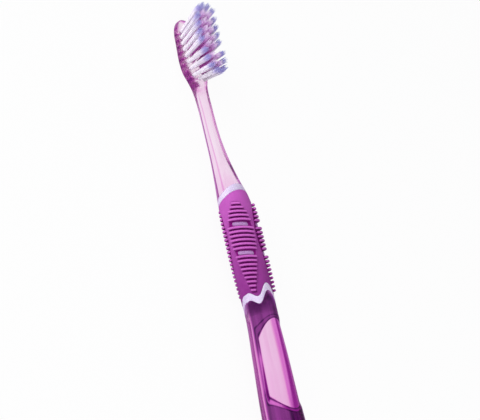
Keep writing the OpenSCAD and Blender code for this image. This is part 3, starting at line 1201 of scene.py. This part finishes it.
@dataclass
class Pads:
    """Where the ribbed pads lie and what a rib measures."""

    pitch: float = 1.576
    rib_w: float = 0.98
    rib_h: float = 1.05
    back_rib_h: float = 0.36
    rib_square: float = 0.75
    rib_sides: int = 14
    rib_grain: float = 0.7
    root: float = 0.4
    rows: int = 22
    front_az: float = 44.0
    spread_az: float = 10.0
    back_az: float = 136.0
    front_span: float = 44.0
    back_span: float = 33.0
    slant: float = 0.9
    row_reach: float = 0.6
    groove_edge: float = 0.4
    groove_over: float = 0.1
    window_rows: tuple[int, ...] = (5, 12)
    shares: tuple[tuple[float, float], ...] = (
        (0, 0.36), (0.1, 0.74), (0.27, 1.0), (0.45, 0.96), (0.62, 0.79), (0.8, 0.56), (1, 0.22))

    @property
    def start(self) -> float:
        """The station of the first rib."""
        return mix(FORM.collar_start, FORM.band_start, 0.218)

    def centre(self, row: float, front: bool) -> float:
        """Gives the azimuth of a row's middle."""
        return self.front_az + self.spread_az * row / (self.rows - 1) if front else self.back_az

    def half(self, row: float, front: bool) -> float:
        """Gives half a row's width in degrees."""
        span = self.front_span if front else self.back_span
        return span * look_up(row / (self.rows - 1), self.shares)

    def station(self, row: float, off: float) -> float:
        """Gives the station of a row at an angle off its middle."""
        return self.start + row * self.pitch - self.slant * off / self.front_span

    def skin(self, side: int, row: float, front: bool, off: float, run: float, tall: float) -> Vector:
        """Gives a point over a pad.

        Args:
            side: 1 for the left pads and -1 for the right ones.
            row: The row, which may lie between two ribs.
            front: True for a pad on the bristle side.
            off: Degrees from the row's middle.
            run: Distance along the brush from the row.
            tall: Height over the rubber.

        Returns:
            The point, in millimetres.
        """
        return FORM.skin(self.station(row, off) + run, side * (self.centre(row, front) + off), -tall)

    def sunk(self, s: float, az: float) -> float:
        """Gives how much of the groove's depth the rubber has at a point, from 0 to 1.

        Args:
            s: The station.
            az: The azimuth.

        Returns:
            The share of the depth.
        """
        az = abs((az + 180) % FULL_TURN - 180)
        last = self.rows - 1 + self.row_reach
        for front in (True, False):
            row = (s - self.start) / self.pitch
            off = az - self.centre(clamp(row, 0, self.rows - 1), front)
            row = (s + self.slant * off / self.front_span - self.start) / self.pitch
            if not -self.row_reach < row < last:
                continue
            half = self.half(clamp(row, 0, self.rows - 1), front)
            reach = math.radians(half - abs(off)) * FORM.grip_w / 2
            ends = min(row + self.row_reach, last - row) * self.pitch
            share = ease((reach + self.groove_over) / self.groove_edge) * ease(ends / self.groove_edge)
            if share > 0:
                return share
        return 0.0

    def bar(self, bm: BMesh, side: int, row: int, front: bool, length: float, width: float,
            low: float, high: float, flat: float, write: Write) -> None:
        """Adds a bar with round ends that follows the grip round.

        Args:
            bm: The mesh that takes it.
            side: 1 for the left pads and -1 for the right ones.
            row: Its row.
            front: True for a pad on the bristle side.
            length: Its length round the grip, in millimetres.
            width: Its width along the brush.
            low: The height of its foot over the rubber.
            high: The height of its top.
            flat: The power of its section, where a low one is square.
            write: Called with each point, its ring's number and its turn round the bar.
        """
        degrees = 180 / math.pi / (FORM.grip_w / 2)
        end, caps = min(width * 0.55, length * 0.5), (0.0, 0.35, 0.65, 0.88, 1.0)
        marks = [(-length / 2 + end * (1 - math.cos(math.pi / 2 * c)), math.sin(math.pi / 2 * c))
                 for c in caps]
        inner = max(2, round((length - 2 * end) / self.rib_grain))
        marks += [(mix(-length / 2 + end, length / 2 - end, k / inner), 1.0) for k in range(1, inner)]
        marks += [(-x, size) for x, size in reversed(marks[:len(caps)])]

        def ring(x: float, size: float) -> Place:
            """Places a ring round the bar at x along it.

            Args:
                x: The distance from the bar's middle.
                size: The share of its full width.

            Returns:
                The ring.
            """
            def at(turn: float) -> Vector:
                """Places one point of the ring.

                Args:
                    turn: The turn round the bar, in degrees.

                Returns:
                    The point, in millimetres.
                """
                a = math.radians(turn)
                run = width / 2 * size * signed_power(math.sin(a), flat)
                up = signed_power(math.cos(a), flat) * size ** 0.6
                return self.skin(side, row, front, x * degrees, run, mix(low, high, (up + 1) / 2))
            return at
        rolled_skin(bm, [ring(*mark) for mark in marks], self.rib_sides, write)


@dataclass
class Sleeve:
    """The pearl sleeve, which shows as the collar, the wavy band and the bars in the windows."""

    sides: int = 160
    pads: Pads = field(default_factory=Pads)
    bar_len: float = 6.6
    bar_w: float = 1.65
    bar_foot: float = -1.3
    bar_top: float = -0.12
    bar_square: float = 0.55

    def build(self) -> None:
        """Builds the sleeve."""
        def ring(a: Curve, b: Curve, t: float, inset: float) -> Place:
            """Gives a ring at share t between two curves."""
            return lambda az: FORM.skin(mix(a(az), b(az), t), az, inset)

        top, low, end, edge = FORM.collar_edge, FORM.rubber_top, FORM.rubber_end, FORM.band_edge
        soft = ((0.0, 0.1), (0.02, 0.03), (0.05, 0.0), (0.5, 0.0), (0.95, 0.0), (0.98, 0.03), (1.0, 0.1))
        along = (0, 0.15, 0.35, 0.5, 0.65, 0.85, 1)
        rings = [ring(top, low, t, inset) for t, inset in soft]
        rings += [ring(low, end, t, FORM.rubber_t) for t in along]
        rings += [ring(end, edge, t, inset) for t, inset in soft]
        rings += [ring(edge, top, t, FORM.core_inset) for t in along]
        rings.append(rings[0])
        bm = bmesh.new()
        painted_bar_shade = bm.verts.layers.float.new("painted_bar_shade")
        rolled_skin(bm, rings, self.sides)

        def write(v: BMVert, _ring: int, _turn: float) -> None:
            """Marks a point of a bar, which shows in a window of the rubber, for its painted shade."""
            v[painted_bar_shade] = 1.0

        for side in (1, -1):
            for row in self.pads.window_rows:
                self.pads.bar(bm, side, row, True, self.bar_len, self.bar_w, self.bar_foot, self.bar_top,
                              self.bar_square, write)
        finished_piece("pearl_sleeve", bm, PearlPlastic().material(), Slot.PEARL, ["inner_sleeve"])


@dataclass
class Grip:
    """The rubber skin with its ribbed pads."""

    sides: int = 200
    along: int = 130
    pads: Pads = field(default_factory=Pads)
    groove_depth: float = 0.3
    # Painted shade at the ribs' feet and a painted highlight on their crests.
    foot_shade: float = 0.8
    flank_shade: float = 1.5
    crest_highlight: float = -0.6

    def build(self) -> None:
        """Builds the grip."""
        low, end = FORM.rubber_top, FORM.rubber_end
        pads = self.pads
        bm = bmesh.new()
        groove = bm.verts.layers.float.new("groove")
        soft = ((0.0, 0.16), (0.002, 0.08), (0.005, 0.03), (0.01, 0.0))
        first = soft[-1][0]
        marks = list(soft) + [(mix(first, 1 - first, k / self.along), 0.0) for k in range(1, self.along)]
        marks += [(1 - t, inset) for t, inset in reversed(soft)]
        inner = [(t, FORM.rubber_t) for t in (1, 0.8, 0.6, 0.4, 0.2, 0)]

        def ring(t: float, inset: float, outer: bool) -> Place:
            """Places a ring of the skin.

            Args:
                t: The share of the way down the grip.
                inset: How far it lies under the outer form.
                outer: Whether the grooves are sunk into it.

            Returns:
                The ring.
            """
            def at(az: float) -> Vector:
                """Places one point of the ring.

                Args:
                    az: The azimuth.

                Returns:
                    The point, in millimetres.
                """
                s = mix(low(az), end(az), t)
                sink = self.groove_depth * pads.sunk(s, az) if outer else 0.0
                return FORM.skin(s, az, inset + sink)
            return at

        def write(v: BMVert, row: int, az: float) -> None:
            """Writes how deep in a groove the point lies, which the rubber paints as shade."""
            if row < len(marks):
                v[groove] = pads.sunk(mix(low(az), end(az), marks[row][0]), az)

        rings = [ring(t, inset, True) for t, inset in marks] + [ring(t, inset, False) for t, inset in inner]
        rolled_skin(bm, rings + rings[:1], self.sides, write)
        heights = bm.verts.layers.float["groove"]

        def write_rib(v: BMVert, _ring: int, turn: float) -> None:
            """Writes painted shade at a rib's foot and a painted highlight on its top."""
            up = math.cos(math.radians(turn))
            v[heights] = clamp(self.foot_shade - up * self.flank_shade, self.crest_highlight, 1.0)

        degrees = math.pi / 180 * FORM.grip_w / 2
        for side in (1, -1):
            for front in (True, False):
                for row in range(pads.rows):
                    if front and row in pads.window_rows:
                        continue
                    length = 2 * pads.half(row, front) * degrees
                    tall = pads.rib_h if front else pads.back_rib_h
                    pads.bar(bm, side, row, front, length, pads.rib_w, -pads.root, tall,
                             pads.rib_square, write_rib)
        finished_piece("ribbed_grip", bm, SoftRubber().material(), Slot.RUBBER, ["grip_overmould"])


@dataclass(frozen=True)
class SoftBox:
    """A square lamp, placed from the brush by the camera's right, up and near, in metres and watts."""

    name: str
    where: Triple
    watts: float
    side: float = 0.9


@dataclass
class Studio:
    """The camera, the lamps, the pale floor and the world.

    The clear plastic is seen against what it bends and mirrors, as under a real photographer's cards: rays
    that have passed through it find a floor and a world that go dusky violet away from the brush, and a
    violet shade under the lower handle. Matt surfaces and the camera find them white or grey.
    """

    focal_px: float = 1000.0
    frame_w: float = 480.0
    sensor: float = 36.0
    angles: Triple = (12.8761, 18.3898, 47.1167)
    brush_seen: Triple = (-1.1948, -2.971, -367.9212)
    brush_at: Triple = (8.2, 0.0, 6.5)
    boxes: tuple[SoftBox, ...] = (SoftBox("key", (-0.5, 0.45, 0.45), 7.2),
                                  SoftBox("fill", (0.15, -0.25, 0.68), 1.9))
    lit: Triple = (0.02, 0.0, 0.01)
    floor_r: float = 6.0
    floor_z: float = -0.0003
    floor_glow: float = 0.93
    squash: float = 0.25
    near: float = 0.03
    away: float = 0.2
    dusk: Colour = (0.36, 0.08, 0.35, 1.0)
    card: Colour = (0.62, 0.36, 0.66, 1.0)
    # The violet shadow painted on the floor under the lower handle, seen only by rays through the plastic.
    shade: Colour = (0.4, 0.05, 0.42, 1.0)
    shade_w: float = 0.00346
    shade_soft: float = 0.0003
    shade_slope: float = 0.054
    shade_end: tuple[float, float] = (-0.026, -0.018)
    horizon: tuple[float, float] = (0.1, 0.6)
    sky: Colour = (0.7, 0.5, 0.74, 1.0)
    air: Colour = (0.55, 0.55, 0.57, 1.0)
    mirrored_air: Colour = (0.34, 0.18, 0.38, 1.0)
    bounces: int = 24
    glossy_bounces: int = 16

    def camera(self) -> None:
        """Sets the camera at the photograph's view."""
        tilt, rake, roll = (math.radians(a) for a in self.angles)
        along = Vector((-math.sin(tilt) * math.cos(rake), math.cos(tilt) * math.cos(rake), -math.sin(rake)))
        right = Vector((math.cos(tilt), math.sin(tilt), 0))
        near = right.cross(along)
        up = math.sin(roll) * right + math.cos(roll) * near
        across = math.sin(roll) * near - math.cos(roll) * right
        turned = Matrix((along, across, up))
        spot = turned @ -Vector(self.brush_seen) + Vector(self.brush_at)
        lens = bpy.data.cameras.new("camera")
        lens.sensor_width, lens.lens = self.sensor, self.focal_px / self.frame_w * self.sensor
        lens.clip_start, lens.clip_end = 0.01, 20
        self.eye = put_in_scene("camera", lens)
        self.eye.matrix_world = Matrix.Translation(spot * MM) @ turned.to_4x4()
        bpy.context.scene.camera = self.eye

    def lamp(self, box: SoftBox) -> None:
        """Adds a soft box that clear plastic neither mirrors nor shows.

        Args:
            box: Its name, place, power and size.
        """
        light = bpy.data.lights.new(box.name, "AREA")
        light.size, light.energy = box.side, box.watts
        lamp = put_in_scene(box.name, light)
        away = self.eye.matrix_world.to_3x3() @ Vector(box.where)
        lamp.location = Vector(self.lit) + away
        lamp.rotation_euler = away.to_track_quat("Z", "Y").to_euler()
        lamp.visible_glossy = lamp.visible_transmission = False

    def painted_shadow_under_handle(self, book: NodeBook, where: Socket) -> Socket:
        """Gives the strip of floor right under the lower handle, where a violet shadow is painted.

        Args:
            book: The floor's nodes.
            where: The floor's point.

        Returns:
            The strip's share, from 0 to 1.
        """
        parts = book.add("SeparateXYZ", {0: where}).outputs
        aside = book.math("MULTIPLY_ADD", parts["X"], self.shade_slope, book.math("ABSOLUTE", parts["Y"]))
        side = book.span(aside, 1.0, 0.0, self.shade_w - self.shade_soft, self.shade_w + self.shade_soft)
        return book.math("MULTIPLY", side, book.span(parts["X"], 1.0, 0.0, *self.shade_end))

    def floor(self) -> None:
        """Lays a floor that keeps the brush's shadow, pale to the camera and violet through clear plastic."""
        bm = bmesh.new()
        bmesh.ops.create_circle(bm, cap_ends=True, segments=64, radius=self.floor_r)
        for v in bm.verts:
            v.co.z = self.floor_z
        mesh = mesh_of("floor", bm)
        material = bpy.data.materials.new("studio_white")
        book = NodeBook(material)
        path = book.add("LightPath").outputs
        seen = book.math("MAXIMUM", path["Is Camera Ray"], path["Is Glossy Ray"])
        seen = book.math("MAXIMUM", seen, path["Is Transmission Ray"])
        share = book.math("MULTIPLY", seen, self.floor_glow)
        where = book.add("TexCoord").outputs["Object"]
        far = book.add("VectorMath", {0: where, 1: (self.squash, 1, 1)}, operation="MULTIPLY").outputs[0]
        far = book.add("VectorMath", {0: far}, operation="LENGTH").outputs["Value"]
        dim = book.blend(book.span(far, 0.0, 1.0, self.near, self.away), WHITE, self.dusk)
        # Paints the violet shadow under the lower handle for rays through the plastic.
        dim = book.blend(self.painted_shadow_under_handle(book, where), dim, self.shade)
        tone = book.blend(path["Is Glossy Ray"], WHITE, self.card)
        tone = book.blend(path["Is Transmission Ray"], tone, dim)
        matt = book.add("BsdfDiffuse", {"Color": (0.9, 0.9, 0.9, 1)})
        glow = book.add("Emission", {"Color": tone, "Strength": 1.0})
        both = book.add("MixShader", {0: share, 1: matt.outputs[0], 2: glow.outputs[0]})
        book.add("OutputMaterial", {"Surface": both.outputs[0]})
        mesh.materials.append(material)
        floor = put_in_scene("floor", mesh)

    def world(self) -> None:
        """Makes a world that is white to the camera, grey to matt surfaces and violet to clear plastic."""
        world = bpy.data.worlds.new("studio")
        bpy.context.scene.world = world
        book = NodeBook(world)
        path = book.add("LightPath").outputs
        up = book.add("SeparateXYZ", {0: book.add("TexCoord").outputs["Generated"]}).outputs["Z"]
        dusk = book.blend(book.span(up, 0.0, 1.0, *self.horizon), self.dusk, self.sky)
        tone = book.blend(path["Is Glossy Ray"], self.air, self.mirrored_air)
        tone = book.blend(path["Is Transmission Ray"], tone, dusk)
        tone = book.blend(path["Is Camera Ray"], tone, WHITE)
        light = book.add("Background", {"Color": tone, "Strength": 1.0})
        book.add("OutputWorld", {"Surface": light.outputs[0]})

    def build(self) -> None:
        """Builds the studio, with enough bounces for clear walls inside clear walls."""
        bpy.context.scene.view_settings.view_transform = "Standard"
        cycles = bpy.context.scene.cycles
        cycles.max_bounces = cycles.transmission_bounces = self.bounces
        cycles.glossy_bounces = self.glossy_bounces
        self.camera()
        for box in self.boxes:
            self.lamp(box)
        self.floor()
        self.world()


def main() -> None:
    """Builds the studio and every piece."""
    logging.basicConfig(level=logging.INFO, format="%(message)s")
    Studio().build()
    field_of_tufts = TuftField()
    Handle().build(field_of_tufts.tufts())
    Sleeve().build()
    Grip().build()
    field_of_tufts.build()
    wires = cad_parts["tuft_anchors"]
    wires.data.materials.clear()
    wires.data.materials.append(DrawnWire().material())
    LOG.info("anchors: %d faces", len(wires.data.polygons))


if __name__ == "__main__":
    main()
